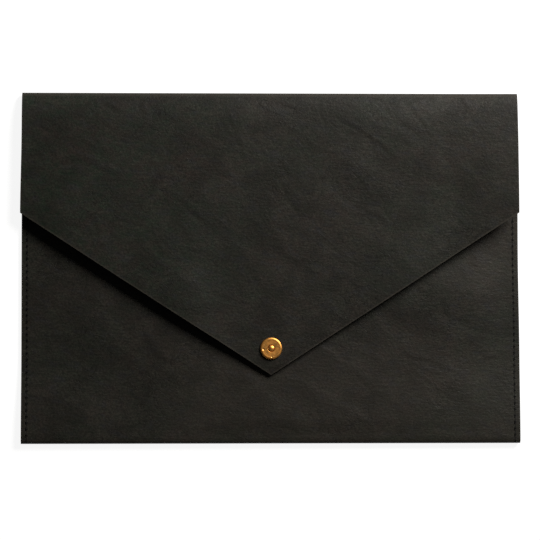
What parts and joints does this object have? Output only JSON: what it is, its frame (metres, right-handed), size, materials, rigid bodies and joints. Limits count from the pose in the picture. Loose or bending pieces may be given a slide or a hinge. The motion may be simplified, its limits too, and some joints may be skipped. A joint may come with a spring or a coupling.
{
  "type": "document folder",
  "caption": "Landscape document pouch of folded washable paper with sewn sides and a pointed flap held by a brass press stud.",
  "frame": {"origin": "middle of the back of the closed folder, on the surface that it lies on", "axes": "+X across the folder, +Y towards the top fold, +Z out of the front"},
  "size_m": [0.34, 0.24, 0.0143],
  "materials": {
    "paper": "leather-like washable paper, satin",
    "thread": "matt polyester thread",
    "brass": "satin",
    "spring_wire": "satin"
  },
  "bodies": {
    "pouch": {"back_panel": "paper", "bottom_fold": "paper", "front_panel": "paper", "top_fold": "paper", "left_seam_needle_thread": "thread", "left_seam_bobbin_thread": "thread", "right_seam_needle_thread": "thread", "right_seam_bobbin_thread": "thread", "snap_stud": "brass", "stud_eyelet": "brass"},
    "flap": {"flap_panel": "paper", "face_disc": "brass", "face_rivet": "brass", "snap_socket": "brass", "socket_spring": "spring_wire"}
  },
  "joints": [
    {"name": "flap_hinge", "type": "hinge", "parent": "pouch", "child": "flap", "pos_m": [0, 0.12051, 0.00213], "axis": [-1, 0, 0], "range_deg": [0, 160], "deforming": ["top_fold"]}
  ]
}
